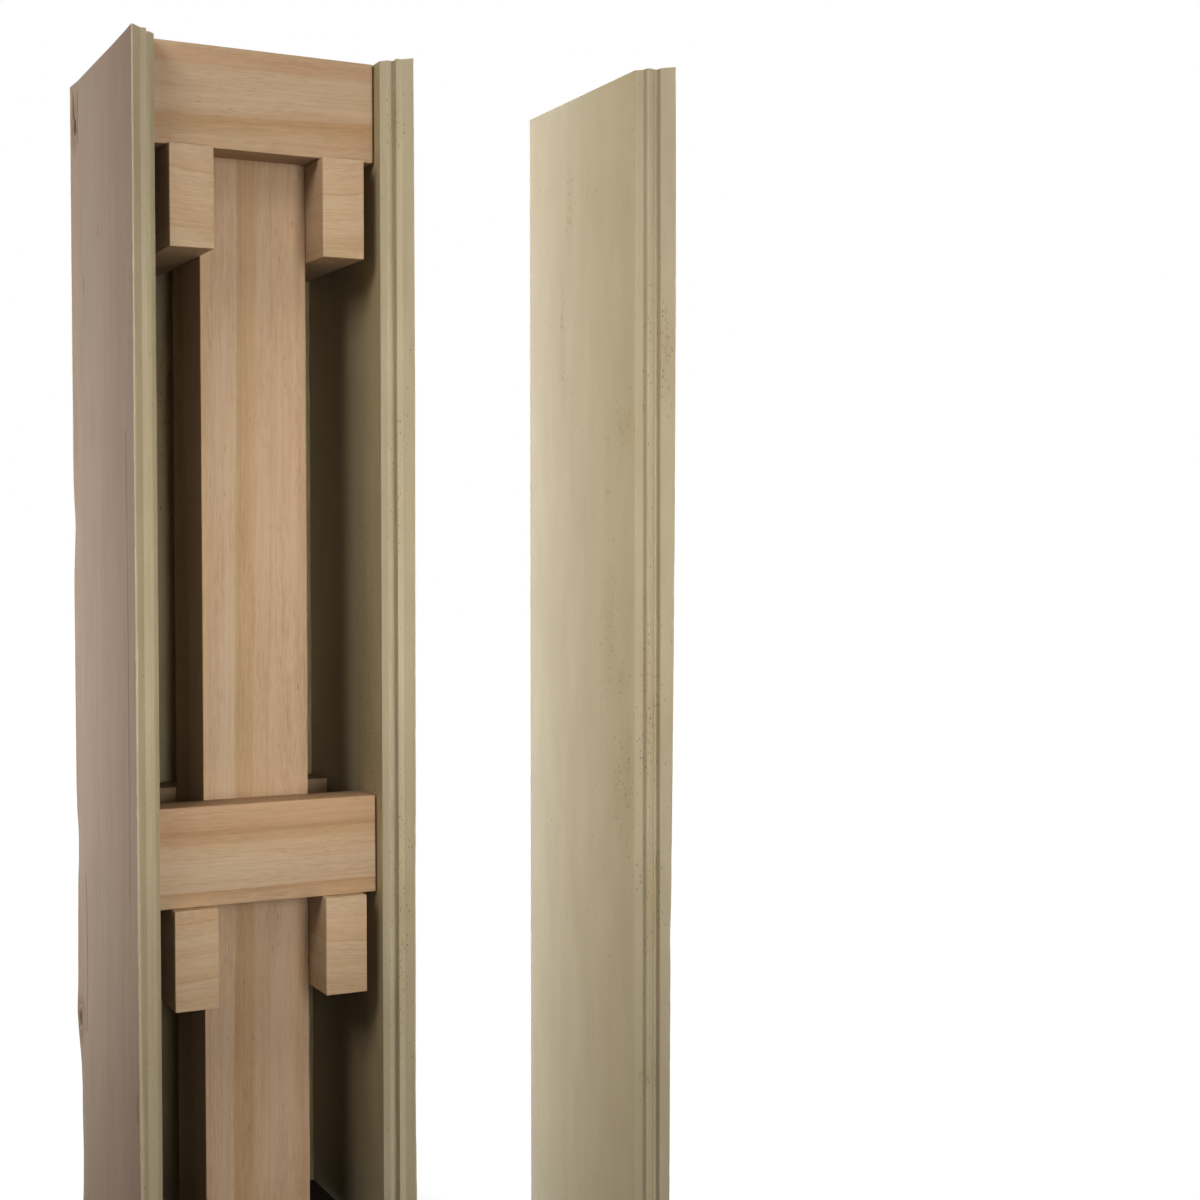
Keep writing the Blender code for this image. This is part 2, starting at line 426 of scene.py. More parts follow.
# Each panel's tongue, turn, place and seed, then per side (left, right) the arris radius at the head and the
# foot in mm, its knots as (across, up, half width, half height) and its cracks as (half width, depth, then
# the points across and up that they run through), all in mm
PANELS = {
    "panel_left": dict(
        tongue=True,
        turn=90,
        place=(-INSIDE / 2, -SET_FORWARD),
        seed=3,
        arris=((0.95, 2.6), (0.5, 0.8)),
        knots=((110, 1039, 5, 9), (115, 190, 7, 9)),
        cracks=(
            (1.5, 1.0, (115, 1068), (114, 1050), (109, 1042), (106, 1033)),
            (0.8, 0.3, (98, 1070), (99, 1045), (98, 1022)),
            (0.8, 0.4, (14, 937), (13, 925)),
            (0.9, 0.4, (77, 891), (76, 879)),
            (0.8, 0.4, (-93, 742), (-94, 560), (-93, 339)),
            (0.9, 0.4, (91, 330), (88, 250), (90, 182)),
            (0.9, 0.7, (-116.5, 172), (-117, 150)),
            (0.8, 0.7, (-116, 66), (-116.5, 38)),
        ),
    ),
    "panel_right": dict(
        tongue=True,
        turn=-90,
        place=(INSIDE / 2, -SET_FORWARD),
        seed=11,
        arris=((0.5, 0.9), (0.5, 1.2)),
        knots=((-58, 842, 7, 13), (46, 318, 8, 15)),
        cracks=(
            (1.2, 0.7, (-60, 905), (-57, 842), (-61, 790)),
            (0.9, 0.5, (72, 610), (74, 500), (71, 420)),
            (1.0, 0.6, (44, 352), (46, 318), (49, 270)),
        ),
    ),
    "panel_back": dict(
        tongue=False,
        turn=0,
        place=(0, -SET_FORWARD + INSIDE / 2),
        seed=19,
        arris=((0.5, 0.8), (0.5, 0.9)),
        knots=((-40, 655, 8, 15), (72, 214, 6, 11), (88, 930, 5, 8)),
        cracks=(
            (1.3, 0.7, (-39, 740), (-42, 655), (-38, 590)),
            (0.9, 0.5, (20, 420), (22, 330), (19, 250)),
            (1.0, 0.6, (70, 250), (73, 214), (71, 160)),
        ),
    ),
    "panel_front": dict(
        tongue=False,
        turn=-90,
        place=(0.2268, -0.2550),
        seed=27,
        arris=((0.5, 0.9), (0.5, 1.2)),
        knots=((30, 760, 7, 14), (-66, 290, 7, 12)),
        cracks=(
            (1.2, 0.7, (31, 830), (29, 760), (33, 700)),
            (0.9, 0.5, (-30, 520), (-28, 420), (-31, 350)),
            (1.0, 0.6, (-64, 330), (-67, 290), (-65, 240)),
        ),
    ),
}

# Coarse places in the bare foam, as (across, up, half width, half height) in mm
COARSE_PLACES = {
    "panel_left": ((-112, 930, 3, 12), (-114, 250, 3, 60)),
    "panel_right": ((112, 1030, 5, 30), (112, 700, 5, 60), (114, 300, 6, 90), (60, 500, 20, 160)),
    "panel_back": ((-40, 800, 30, 120), (50, 300, 30, 100)),
    "panel_front": (
        (-18, 935, 7, 34),
        (-32, 836, 4, 40),
        (120, 810, 8, 40),
        (84, 742, 18, 20),
        (51, 687, 4, 7),
        (110, 515, 8, 66),
        (79, 532, 9, 16),
        (111, 348, 6, 44),
        (109, 209, 4, 16),
        (84, 450, 16, 60),
        (58, 560, 14, 50),
    ),
}


def lattice_noise(u, v, seed):
    """Smooth noise from 0 to 1 at places given in cells, the same on every run."""
    cells = np.random.default_rng(seed).random((NOISE_CELLS + 1, NOISE_CELLS + 1))
    i, j = np.floor(u).astype(int), np.floor(v).astype(int)
    s, t = u - i, v - j
    s, t = s * s * (3 - 2 * s), t * t * (3 - 2 * t)
    i, j = i % NOISE_CELLS, j % NOISE_CELLS
    low = cells[i, j] * (1 - s) + cells[i + 1, j] * s
    high = cells[i, j + 1] * (1 - s) + cells[i + 1, j + 1] * s
    return low * (1 - t) + high * t


def smoothed(values, cells):
    """values with a soft average over so many rows, its ends held."""
    reach = int(3 * cells) + 1
    weights = np.exp(-0.5 * (np.arange(-reach, reach + 1) / cells) ** 2)
    weights /= weights.sum()
    held = np.concatenate([values[:1]] * reach + [values] + [values[-1:]] * reach)
    return sum(w * held[k : k + len(values)] for k, w in enumerate(weights))


def cast_form(node, turn, place):
    """The CAD solid's outer face: its levels, places across as shares of the way to a tip, and depths."""
    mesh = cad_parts[node].data
    spots = np.empty(len(mesh.vertices) * 3)
    mesh.vertices.foreach_get("co", spots)
    spots = spots.reshape(-1, 3) - (*place, 0)
    c, s = math.cos(turn), math.sin(turn)
    x, y, z = spots[:, 0] * c + spots[:, 1] * s, spots[:, 1] * c - spots[:, 0] * s, spots[:, 2]

    # Neither the lock's points nor those of the flats that cut its tips off belong to the face
    outer = (y > LOCK_REACH) & (abs(x) - INSIDE / 2 - y < -TIP_CUT * 0.7)
    share = x / (INSIDE / 2 + y - TIP_CUT)
    levels = np.unique(np.round(z[outer], 4))
    across = np.sin(np.pi * (np.linspace(0, 1, FORM_COLUMNS + 1) - 0.5))
    depths = []
    for level in levels:
        row = outer & (abs(z - level) < SAME_LEVEL)
        order = np.argsort(share[row])
        depths.append(np.interp(across, share[row][order], y[row][order]))
    return levels, across, np.array(depths)


def lock_line(tongue):
    """The lock mitre from the inner corner outward, as (reach past the corner, depth), short of the arris."""
    line = []
    for i, (x, y, radius) in enumerate(LOCK_CORNERS[:-1]):
        here = Vector((x, y)) * MM
        if not radius:
            line.append(here)
            continue
        back = (Vector(LOCK_CORNERS[i - 1][:2]) * MM - here).normalized()
        on = (Vector(LOCK_CORNERS[i + 1][:2]) * MM - here).normalized()
        half = back.angle(on) / 2
        run = radius * MM / math.tan(half)
        middle = here + (back + on).normalized() * radius * MM / math.sin(half)
        first = here + back * run - middle
        sweep = first.angle_signed(here + on * run - middle)
        line.append(here + back * (run + SHOULDER))
        for step in range(ARC_STEPS + 1):
            a = -sweep * step / ARC_STEPS
            c, s = math.cos(a), math.sin(a)
            line.append(middle + Vector((first.x * c - first.y * s, first.x * s + first.y * c)))
        line.append(here + on * (run + SHOULDER))
    return np.array([(p.y, p.x) if tongue else (p.x, p.y) for p in line])


def old_timber(x, up, seed, knots, cracks):
    """What the old timber in the mould left on the outer face: how deep it is cut in, the lines of the grain
    as places across, the furrows and cracks from 0 to 1, and the distance from a knot's middle, where 1 is
    its rim."""
    # The grain swings round each knot, so it is read at a place pushed away from it
    grain_x, knot = x.copy(), np.full(x.shape, NO_KNOT)
    for kx, kz, wide, tall in knots:
        dx, dz, wide, tall = x - kx * MM, up - kz * MM, wide * MM, tall * MM
        across, along = dx / KNOT_SPOTS[0] + NOISE_MIDDLE, dz / KNOT_SPOTS[1] + NOISE_MIDDLE
        uneven = KNOT_UNEVEN[0] + KNOT_UNEVEN[1] * lattice_noise(across, along, seed + KNOT_NOISE)
        away = np.hypot(dx / wide, dz / tall) * uneven
        fading = np.exp(-away / SWING_ROUND) * np.exp(-np.abs(dz) / (tall * SWING_ABOVE))
        grain_x = grain_x - np.sign(dx) * wide * KNOT_SWING * fading
        knot = np.minimum(knot, away)
    far, wide, long = (size * MM for size in GRAIN_WANDER)
    lines = grain_x + far * (lattice_noise(grain_x / wide, up / long, seed) - 0.5)
    rough = 0
    for i, (share, spacing, length) in enumerate(FURROWS, 1):
        rough = rough + share * lattice_noise(lines / (spacing * MM), up / (length * MM), seed + i)
    furrow = np.clip(FURROW_GAIN * rough - FURROW_FLOOR, 0, 1) ** FURROW_POWER
    groove, half_groove = RIM_GROOVE
    hollow = np.clip(1 - knot, 0, 1) ** 0.5 + 0.5 * np.exp(-(((knot - groove) / half_groove) ** 2))
    cut = GRAIN_DEPTH * furrow + KNOT_DEPTH * hollow * (knot < KNOT_ENDS)

    # Each crack is a run of straight bits, and dies out at both ends, twice as slowly up the grain
    crack = np.zeros(x.shape)
    for half_width, deep, *points in cracks:
        away = np.full(x.shape, 1.0)
        for (ax, az), (bx, bz) in zip(points, points[1:]):
            run = np.array((bx - ax, bz - az)) * MM
            dx, dz = x - ax * MM, up - az * MM
            on = np.clip((dx * run[0] + dz * run[1]) / (run @ run), 0, 1)
            away = np.minimum(away, np.hypot(dx - on * run[0], (dz - on * run[1]) / 2))
        here = np.exp(-((away / (half_width * MM)) ** 2))
        crack = np.maximum(crack, here)
        cut = cut + deep * MM * here * CRACK_SHARE
    return cut, lines, furrow, crack, knot


def long_edge(line, corner, radius):
    """One long edge of a panel at every level, from its inner corner out: the lock, the slope up to the
    arris and the rounded arris, as reaches past the corner and depths. corner is the arris's depth before
    it is rounded. Also how far the rounding takes off the face."""
    # The slope meets the face at 45 degrees, and the rounding turns from square to one to square to the other
    half_corner = math.radians(22.5)
    back = radius / math.tan(half_corner)
    start = corner - back / math.sqrt(2)
    steps = np.linspace(0, 1, SLOPE_STEPS + 2)[1:]
    slope_reach = line[-1, 0] + (start[:, None] - line[-1, 0]) * steps
    slope_depth = line[-1, 1] + (start[:, None] - line[-1, 1]) * steps
    from_tip = radius / math.sin(half_corner)
    mid_reach = (corner - from_tip * math.cos(half_corner))[:, None]
    mid_depth = (corner - from_tip * math.sin(half_corner))[:, None]
    turns = np.radians(np.linspace(-45, 90, ARRIS_STEPS + 1)[1:])
    lock = np.broadcast_to(line, (len(corner), *line.shape))
    reach = (lock[..., 0], slope_reach, mid_reach + radius[:, None] * np.cos(turns))
    depth = (lock[..., 1], slope_depth, mid_depth + radius[:, None] * np.sin(turns))
    return np.concatenate(reach, axis=1) - GAP, np.concatenate(depth, axis=1), back


def cast_panel(node, tongue, turn, place, seed, arris, knots, cracks):
    """A cast panel on its CAD solid's form, with its grain, knots and cracks cut in, its lock mitres and its
    worn arrises."""
    turn = math.radians(turn)
    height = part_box(node)[1].z
    half = INSIDE / 2
    z = np.linspace(0, height, round(height / ROW_HEIGHT) + 1)
    share = np.sin(np.pi * (np.linspace(0, 1, OUTSIDE_COLUMNS + 1) - 0.5) * CROWDING)
    share /= share[-1]
    x = np.broadcast_to(share * (half + THICK), (len(z), len(share)))
    up = np.broadcast_to(z[:, None], x.shape)
    cut, lines, furrow, crack, knot = old_timber(x, up, seed, knots, cracks)

    levels, form_across, depths = cast_form(node, turn, place)
    form = np.column_stack([np.interp(z, levels, column) for column in depths.T])
    form = smoothed(form, FORM_SOFTNESS / (z[1] - z[0]))
    face_y = np.array([np.interp(share, form_across, row) for row in form])
    face_y = smoothed(face_y.T, FACE_SOFTNESS).T - cut

    # One closed outline a level: inner face, right edge, outer face, left edge
    line = lock_line(tongue)
    inner = np.linspace(-half, half, INSIDE_COLUMNS + 1)[1:-1]
    edges = []
    for side, column in ((-1, 0), (1, -1)):
        head_radius, foot_radius = arris[column]
        worn = (foot_radius - head_radius) * (1 - z / height) ** WEAR_GROWTH
        ragged = lattice_noise(z / RAGGED_LENGTH, z * 0 + 0.5, seed + ARRIS_NOISE) ** 3
        radius = (head_radius + worn) * MM * (RAGGED_SHARE[0] + RAGGED_SHARE[1] * ragged)
        reach, depth, back = long_edge(line, face_y[:, column], radius)
        edges.append((side * (half + reach), depth, back))
    (left_x, left_y, left_back), (right_x, right_y, right_back) = edges
    face_x = left_x[:, -1:] + (right_x[:, -1:] - left_x[:, -1:]) * (share[1:-1] + 1) / 2
    runs_x = (np.broadcast_to(inner, (len(z), len(inner))), right_x, face_x[:, ::-1], left_x[:, ::-1])
    runs_y = (np.zeros((len(z), len(inner))), right_y, face_y[:, -2:0:-1], left_y[:, ::-1])
    xs, ys = np.concatenate(runs_x, axis=1), np.concatenate(runs_y, axis=1)
    zs = np.broadcast_to(z[:, None], xs.shape)
    rows, columns = xs.shape
    face_from = len(inner) + right_x.shape[1]
    face_to = columns - left_x.shape[1]

    # The outline's levels joined by faces, and closed at the foot and the head
    local = np.column_stack((xs.ravel(), ys.ravel(), zs.ravel()))
    c, s = math.cos(turn), math.sin(turn)
    placed = local @ np.array(((c, s, 0), (-s, c, 0), (0, 0, 1))) + (*place, 0)
    r, k = (grid.ravel() for grid in np.meshgrid(np.arange(rows - 1), np.arange(columns), indexing="ij"))
    on = (k + 1) % columns
    below, above = r * columns, (r + 1) * columns
    quads = np.column_stack((below + k, below + on, above + on, above + k))
    foot = list(range(columns))[::-1]
    head = [(rows - 1) * columns + i for i in range(columns)]
    mesh = bpy.data.meshes.new(node + "_cast")
    mesh.from_pydata(placed.tolist(), [], quads.tolist() + [foot, head])
    mesh.shade_smooth()
    mesh.materials.append(bare_foam)
    mesh.materials.append(stained_skin)
    skinned = (k >= face_from - 1) & (k < face_to)
    mesh.polygons.foreach_set("material_index", np.concatenate((skinned.astype(np.int32), [0, 0])))

    # The crisp lines of the lock run up the panel, and both sawn ends are crisp all round
    steps_x, steps_y = (np.roll(side, -1, 1)[0] - side[0] for side in (xs, ys))
    heading = np.arctan2(steps_y, steps_x)
    crisp = np.abs((heading - np.roll(heading, 1) + np.pi) % (2 * np.pi) - np.pi) > CRISP_BEND
    crisp[face_from - 1 : face_to + 1] = False
    pairs = np.empty(len(mesh.edges) * 2, np.int32)
    mesh.edges.foreach_get("vertices", pairs)
    near, far = pairs.reshape(-1, 2).min(1), pairs.reshape(-1, 2).max(1)
    upright = (far - near == columns) & crisp[near % columns]
    sawn = (far < columns) | (near >= (rows - 1) * columns)
    mesh.attributes.new("sharp_edge", "BOOLEAN", "EDGE").data.foreach_set("value", upright | sawn)

    # What the skin reads: the swung grain, the furrows, knots and cracks, and how far the arris is in mm
    def over_face(values, elsewhere):
        full = np.full(xs.shape, float(elsewhere))
        full[:, face_from:face_to] = values[:, -2:0:-1]
        full[:, face_from - ARRIS_STEPS : face_from] = values[:, -1:]
        full[:, face_to : face_to + ARRIS_STEPS] = values[:, :1]
        return full.ravel()

    swung = np.column_stack((over_face(lines, 0) + seed * GRAIN_STEP, local[:, 1] * 0, local[:, 2]))
    to_arris = half + THICK - np.abs(xs) - np.where(xs < 0, left_back[:, None], right_back[:, None])
    store(mesh, "grain", swung)
    store(mesh, "furrow", over_face(furrow, 0))
    store(mesh, "knot", over_face(knot, NO_KNOT))
    store(mesh, "crack", over_face(crack, 0))
    store(mesh, "arris", np.clip(to_arris, 0, ARRIS_REACH).ravel() / MM)

    # What the bare foam reads: its place in the mould and how coarse it is, also where air was trapped in
    # the lock's hollow corner
    bare = np.ones(xs.shape)
    bare[:, face_from:face_to] = 0
    coarse = np.zeros(xs.shape)
    for cx, cz, wide, tall in COARSE_PLACES[node]:
        spread = ((xs - cx * MM) / (wide * MM)) ** 2 + ((zs - cz * MM) / (tall * MM)) ** 2
        coarse = np.maximum(coarse, np.exp(-spread) * bare)
    deep, out = np.array(TONGUE_HOLLOW[:2] if tongue else MATE_HOLLOW[1::-1]) * MM
    from_hollow = ((np.abs(xs) - half - out) ** 2 + (ys - deep) ** 2) / SHOULDER**2
    patchy = lattice_noise(zs / TRAPPED_LENGTH, zs * 0 + 0.5, seed + TRAPPED_NOISE)
    patchy = np.clip(TRAPPED_GAIN * patchy - TRAPPED_FLOOR, 0, 1)
    trapped = TRAPPED_COARSE * np.exp(-from_hollow) * bare * patchy
    store(mesh, "coarse", np.maximum(coarse, trapped).ravel())
    store(mesh, "cast", local + (0, 0, seed * FOAM_STEP))

    piece = bpy.data.objects.new(node + "_cast", mesh)
    bpy.context.scene.collection.objects.link(piece)
    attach(piece, "root")
    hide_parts(node)


# Across a panel in metres: where its bare inner face ends, where the painted sheen on the inner face starts
# and is full, and where the skin's painted shade is darkest and its painted light brightest. A point's depth
# counts many times, so that only the inner face, which lies at no depth, stays inside the ends
FACE_ENDS = (0.101, 0.102)
DEPTH_WEIGHT = 100.0
INNER_SHEEN = (-0.10, 0.10)
SKIN_SHADE_FALL = (-0.122, 0.110)


def moulded_foam(name):
    """Bare rigid polyurethane foam as it left the mould. It is khaki and matt, barely mottled, with faint
    draw lines up its length and small open cells where air was trapped, most of them in coarse places. The
    inner
    face carries a painted sheen: whiter towards one long edge and yellower towards the other."""
    made = bpy.data.materials.new(name)
    made.use_nodes = True
    tree = made.node_tree
    shader = tree.nodes["Principled BSDF"]
    cast = add(tree, "Attribute", attribute_name="cast").outputs["Vector"]
    coarse = add(tree, "Attribute", attribute_name="coarse").outputs["Fac"]

    # Mottling 24 mm across, draw lines 2.4 mm wide, and grit. The foam's closed cells are a third of a
    # millimetre across, too fine to show, so the grit is drawn at 1.3 mm
    cloud = drawn(tree, "TexNoise", cast, (24, 24, 90), Detail=3.0).outputs["Fac"]
    run = drawn(tree, "TexNoise", cast, (2.4, 2.4, 140), Detail=2.0).outputs["Fac"]
    grit = drawn(tree, "TexNoise", cast, (1.3, 1.3, 2.4), Detail=3.0).outputs["Fac"]
    colour = turned(tree, cloud, 0.30, 0.72, linear("B9AE95"), linear("B3A78E"))
    colour = tinted(tree, colour, run, 0.40, 0.75, (1.005, 1.005, 1.005), (0.975, 0.973, 0.968))
    colour = tinted(tree, colour, grit, 0.40, 0.75, (1.01, 1.01, 1.01), (0.97, 0.967, 0.96))
    colour = tinted(tree, colour, coarse, 0.1, 0.9, (1, 1, 1), (0.96, 0.935, 0.90))

    # The inner face, with a painted sheen: whiter towards one long edge and yellower towards the other
    place = add(tree, "SeparateXYZ", {0: cast}).outputs
    aside = add(tree, "Math", {0: place["X"]}, operation="ABSOLUTE").outputs[0]
    depth = {0: place["Y"], 1: DEPTH_WEIGHT}
    limit = add(tree, "Math", {**depth, 2: aside}, operation="MULTIPLY_ADD").outputs[0]
    face = tinted(tree, colour, place["X"], *INNER_SHEEN, (1.0, 1.02, 1.03), (0.99, 0.955, 0.85))
    colour = turned(tree, limit, *FACE_ENDS, face, colour)

    # Open cells about 1 mm across, longer upward, in clusters: few over the face, many where it is coarse
    cells = drawn(tree, "TexVoronoi", cast, (1.9, 1.9, 3.6))
    lot = add(tree, "SeparateColor", {"Color": cells.outputs["Color"]}).outputs
    patch = drawn(tree, "TexNoise", cast, (9, 9, 26), Detail=2.0).outputs["Fac"]
    cluster = add(tree, "MapRange", {"Value": patch, "From Min": 0.38, "From Max": 0.62}).outputs[0]
    wanted = add(tree, "Math", {0: coarse, 1: 1.2, 2: 0.012}, operation="MULTIPLY_ADD").outputs[0]
    chance = add(tree, "Math", {0: wanted, 1: cluster}, operation="MULTIPLY").outputs[0]
    picked = add(tree, "Math", {0: lot["Red"], 1: chance}, operation="LESS_THAN").outputs[0]
    deep = add(tree, "MapRange", {"Value": lot["Green"], "To Min": 0.3}).outputs[0]
    uneven = add(tree, "Math", {0: grit, 1: 0.5, 2: cells.outputs["Distance"]}, operation="MULTIPLY_ADD")
    opening = add(
        tree,
        "MapRange",
        {"Value": uneven.outputs[0], "From Min": 0.38, "From Max": 0.66, "To Min": 1.0, "To Max": 0.0},
    ).outputs[0]
    pit = add(tree, "Math", {0: picked, 1: opening}, operation="MULTIPLY").outputs[0]
    pit = add(tree, "Math", {0: pit, 1: deep}, operation="MULTIPLY").outputs[0]
    colour = tinted(tree, colour, pit, 0.0, 1.0, (1, 1, 1), (0.56, 0.51, 0.43))
    tree.links.new(colour, shader.inputs["Base Color"])

    matt = add(tree, "MapRange", {"Value": grit, "To Min": 0.70, "To Max": 0.90}).outputs[0]
    tree.links.new(matt, shader.inputs["Roughness"])
    raised = add(tree, "Math", {0: pit, 1: -1.0, 2: grit}, operation="MULTIPLY_ADD").outputs[0]
    bump = add(tree, "Bump", {"Strength": 0.35, "Distance": 0.2 * MM, "Height": raised})
    tree.links.new(bump.outputs["Normal"], shader.inputs["Normal"])
    shader.inputs["IOR"].default_value = 1.5
    shader.inputs["Specular IOR Level"].default_value = 0.35
    return made


def grained_skin(name):
    """The foam's outer skin, cast against old timber and wiped with a grey brown stain. It is dull. The stain
    lies dark in the furrows and cracks and thin on the ridges. Across the face it carries painted shade and
    light: darker and warmer towards one long edge, lighter towards the other."""
    made = bpy.data.materials.new(name)
    made.use_nodes = True
    tree = made.node_tree
    shader = tree.nodes["Principled BSDF"]
    grain = add(tree, "Attribute", attribute_name="grain").outputs["Vector"]
    furrow = add(tree, "Attribute", attribute_name="furrow").outputs["Fac"]
    crack = add(tree, "Attribute", attribute_name="crack").outputs["Fac"]
    knot = add(tree, "Attribute", attribute_name="knot").outputs["Fac"]
    arris = add(tree, "Attribute", attribute_name="arris").outputs["Fac"]
    cast = add(tree, "Attribute", attribute_name="cast").outputs["Vector"]
    across = add(tree, "SeparateXYZ", {0: cast}).outputs["X"]

    # Old timber's pores are 0.2 mm wide, too fine to show, so they are drawn as lines 1.5 mm wide. The stain
    # was wiped on unevenly, in patches 50 mm wide
    line = drawn(tree, "TexNoise", grain, (1.5, 1000, 60), Detail=4.0).outputs["Fac"]
    stain = drawn(tree, "TexNoise", grain, (50, 1000, 320), Detail=2.0).outputs["Fac"]
    colour = turned(tree, stain, 0.32, 0.68, linear("9F8B7C"), linear("988979"))
    colour = tinted(tree, colour, furrow, 0.25, 0.80, (1.015, 1.015, 1.015), (0.955, 0.95, 0.95))
    colour = tinted(tree, colour, line, 0.40, 0.80, (1.015, 1.015, 1.015), (0.90, 0.88, 0.865))
    # Painted shade and light across the face: darker and warmer towards one long edge, lighter towards the
    # other
    colour = tinted(tree, colour, across, *SKIN_SHADE_FALL, (0.86, 0.82, 0.79), (1.165, 1.18, 1.17))

    # A knot is a dark eye with a pale rim and a brown halo round it
    place = add(tree, "MapRange", {"Value": knot, "From Max": KNOT_ENDS}).outputs[0]
    rings = add(
        tree,
        "ValToRGB",
        {"Fac": place},
        stops=(
            (0.0, (0.42, 0.36, 0.30, 1)),
            (0.18, (0.52, 0.45, 0.38, 1)),
            (0.30, (0.84, 0.79, 0.73, 1)),
            (0.36, (1.12, 1.12, 1.09, 1)),
            (0.44, (0.84, 0.79, 0.74, 1)),
            (1.0, (1, 1, 1, 1)),
        ),
    ).outputs["Color"]
    under = {0: 1.0, 6: colour, 7: rings}
    colour = add(tree, "Mix", under, data_type="RGBA", blend_type="MULTIPLY").outputs[2]
    colour = tinted(tree, colour, crack, 0.12, 0.8, (1, 1, 1), (0.36, 0.30, 0.25))

    # The stain has chipped off in places within 2 mm of the arris
    chips = drawn(tree, "TexNoise", grain, (3, 1000, 12), Detail=3.0).outputs["Fac"]
    worn = add(tree, "Math", {0: chips, 1: 4.0, 2: arris}, operation="MULTIPLY_ADD").outputs[0]
    colour = turned(tree, worn, 2.0, 2.6, linear("BCB096"), colour)
    tree.links.new(colour, shader.inputs["Base Color"])

    dull = add(tree, "MapRange", {"Value": line, "To Min": 0.68, "To Max": 0.88}).outputs[0]
    tree.links.new(dull, shader.inputs["Roughness"])
    bump = add(tree, "Bump", {"Strength": 0.3, "Distance": 0.2 * MM, "Height": line}, invert=True)
    tree.links.new(bump.outputs["Normal"], shader.inputs["Normal"])
    shader.inputs["IOR"].default_value = 1.5
    shader.inputs["Specular IOR Level"].default_value = 0.3
    return made


bare_foam = moulded_foam("cast_foam_bare")
stained_skin = grained_skin("cast_foam_stained_skin")
for node, sizes in PANELS.items():
    cast_panel(node, **sizes)

# ---------------------------------------------------------------------------------------------------------
# The studio: a white floor that runs out of sight under a white room, large soft lights round the column,
# and the camera a little above half its height, to the left of its open front.
# ---------------------------------------------------------------------------------------------------------
scene = bpy.context.scene

# The floor: half its width, how far it lies under the feet, so that the two don't share a plane, how near a
# piece it carries painted shadow and how brightly it glows
FLOOR_HALF = 12.0
FLOOR_DROP = 0.5 * MM
PAINTED_SHADOW_REACH = 0.35
FLOOR_GLOW = 1.03
floor_corners = [(x * FLOOR_HALF, y * FLOOR_HALF, 0) for x, y in ((-1, -1), (1, -1), (1, 1), (-1, 1))]
floor_mesh = bpy.data.meshes.new("studio_floor")
floor_mesh.from_pydata(floor_corners, [], [(0, 1, 2, 3)])
floor = bpy.data.objects.new("studio_floor", floor_mesh)
scene.collection.objects.link(floor)
floor.location.z = -FLOOR_DROP

# The floor glows white, with painted shadow where the column stands close over it and painted near black
# inside the casing, and casts no light on the column
floor_white = bpy.data.materials.new("studio_white_floor")
floor_white.use_nodes = True
tree = floor_white.node_tree
tree.nodes.remove(tree.nodes["Principled BSDF"])
shadow_ao = add(tree, "AmbientOcclusion", {"Distance": PAINTED_SHADOW_REACH}, samples=16)
# Painted shadow: near black inside the casing, grey close to the pieces, white beyond
shade = add(
    tree,
    "ValToRGB",
    {"Fac": shadow_ao.outputs["AO"]},
    stops=(
        (0.30, (0.012, 0.009, 0.006, 1)),
        (0.50, (0.84, 0.84, 0.84, 1)),
        (0.66, (1, 1, 1, 1)),
    ),
).outputs["Color"]
glow = add(tree, "Emission", {"Color": shade, "Strength": FLOOR_GLOW})
tree.links.new(glow.outputs[0], tree.nodes["Material Output"].inputs["Surface"])
floor_mesh.materials.append(floor_white)
floor.visible_diffuse = False
floor.visible_glossy = False
floor.visible_transmission = False
floor.visible_shadow = False

room = bpy.data.worlds.new("studio_room")
scene.world = room
room.use_nodes = True
tree = room.node_tree
seen = add(tree, "LightPath").outputs["Is Camera Ray"]
tree.links.new(seen, tree.nodes["Background"].inputs["Strength"])
tree.nodes["Background"].inputs["Color"].default_value = (1, 1, 1, 1)

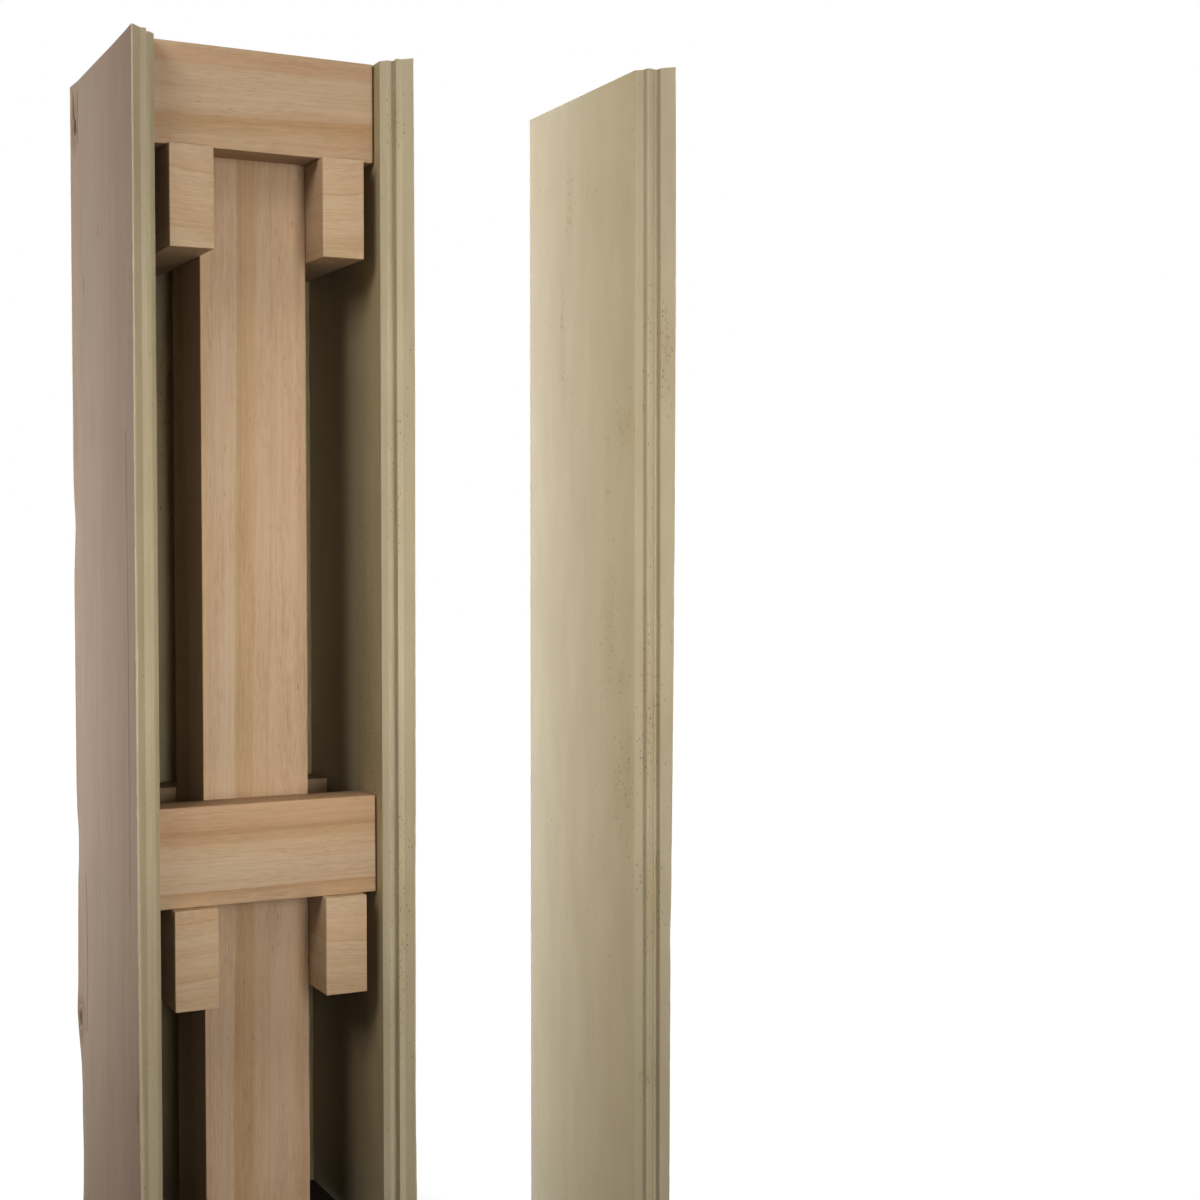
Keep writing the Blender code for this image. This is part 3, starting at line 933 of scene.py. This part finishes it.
# Each light's place and the point it faces in metres, its width and height in metres, its power in watts and
# the angle in degrees that its grid lets through. None shows to the camera
CENTRE = (0.05, -0.13, 0.54)
LIGHTS = {
    "front_strip": ((0.35, -2.60, 0.68), (0.0, -0.1, 0.50), 0.6, 1.6, 36.5, 180),
    "high_front_box": ((0.77, -1.67, 2.30), CENTRE, 1.0, 1.0, 8.0, 180),
    "high_left_box": ((-1.42, -0.98, 2.00), CENTRE, 1.0, 1.0, 23.0, 180),
    "left_strip": ((-1.65, -0.13, 0.85), (0.05, -0.13, 0.85), 1.0, 2.4, 8.2, 180),
    "back_left_strip": ((-1.42, 0.72, 1.00), (0.05, -0.13, 1.00), 1.0, 2.4, 9.1, 180),
    "back_middle_strip": ((-0.39, 1.51, 1.00), (0.05, -0.13, 1.00), 1.0, 2.4, 12.0, 180),
    "back_strip": ((0.05, 1.57, 1.00), (0.05, -0.13, 1.00), 1.0, 2.4, 10.0, 180),
    "right_strip": ((1.69, 0.31, 1.00), (0.05, -0.13, 1.00), 1.0, 2.4, 25.0, 180),
    "low_back_box": ((0.05, 1.57, 0.10), CENTRE, 1.0, 1.0, 2.0, 180),
    "skin_spot": ((-1.30, 0.90, 0.45), (-0.13, 0.05, 0.45), 0.5, 0.5, 1.15, 60),
    "front_spot": ((-0.20, -1.60, 0.60), (0.0, -0.1, 0.60), 0.3, 0.3, 0.56, 45),
    "foot_spot": ((0.0, -1.90, 0.12), (0.0, -0.05, 0.05), 0.08, 0.08, 0.018, 10),
    "loose_panel_strip": ((0.150, 0.14, 0.55), (0.2268, -0.15, 0.55), 0.04, 1.3, 1.18, 50),
}
for name, (place, facing, width, height, power, spread) in LIGHTS.items():
    lamp = bpy.data.lights.new(name, "AREA")
    lamp.shape = "RECTANGLE"
    lamp.size = width
    lamp.size_y = height
    lamp.energy = power
    lamp.spread = math.radians(spread)
    light = bpy.data.objects.new(name, lamp)
    light.location = place
    light.rotation_euler = (Vector(facing) - Vector(place)).to_track_quat("-Z", "Y").to_euler()
    light.visible_camera = False
    scene.collection.objects.link(light)

# The camera, solved from the photograph's straight edges: its place in metres, how far it looks down and how
# far it is turned to the right in degrees, its lens and the width of its film in mm
CAMERA_PLACE = (-0.49231, -1.70701, 0.65086)
CAMERA_DIP = 1.907
CAMERA_TURN = 26.970
CAMERA_LENS = 56.19
FILM_WIDTH = 36
CONTRAST = 1.3
camera = bpy.data.objects.new("camera", bpy.data.cameras.new("camera"))
camera.location = CAMERA_PLACE
camera.rotation_euler = (math.radians(90 - CAMERA_DIP), 0, math.radians(-CAMERA_TURN))
camera.data.lens = CAMERA_LENS
camera.data.sensor_width = FILM_WIDTH
scene.collection.objects.link(camera)
scene.camera = camera

# A plain display with a little more contrast, as a studio camera gives
scene.view_settings.view_transform = "Standard"
scene.view_settings.look = "None"
scene.view_settings.gamma = 1 / CONTRAST
